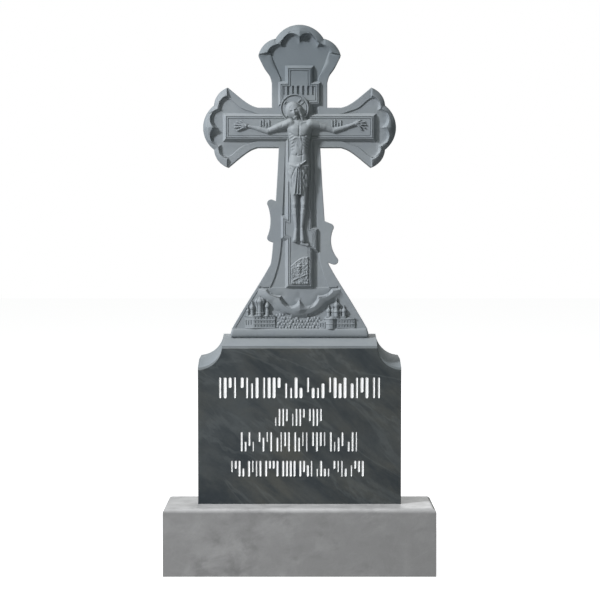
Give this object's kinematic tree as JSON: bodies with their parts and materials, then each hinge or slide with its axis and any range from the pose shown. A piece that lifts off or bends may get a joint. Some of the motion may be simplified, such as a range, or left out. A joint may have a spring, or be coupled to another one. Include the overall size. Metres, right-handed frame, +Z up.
{
  "type": "carved cross headstone",
  "caption": "Free-standing stone grave marker: a lobed cross with a carved corpus and small churches over a polished tablet with hollow shoulders, on a marble plinth.",
  "frame": {"origin": "middle of the plinth's underside, on the ground", "axes": "+Z up, the carved and polished front faces -Y, +X to the viewer's right"},
  "size_m": [0.6, 0.18, 1.218],
  "materials": {
    "plinth_marble": "honed grey marble with soft darker clouds and rounded top edges",
    "stele_stone": "dark blue-green grey stone, matte where carved, polished and veined on the tablet's face, with white strokes"
  },
  "bodies": {
    "root": {"plinth": "plinth_marble", "stele": "stele_stone"}
  },
  "joints": []
}
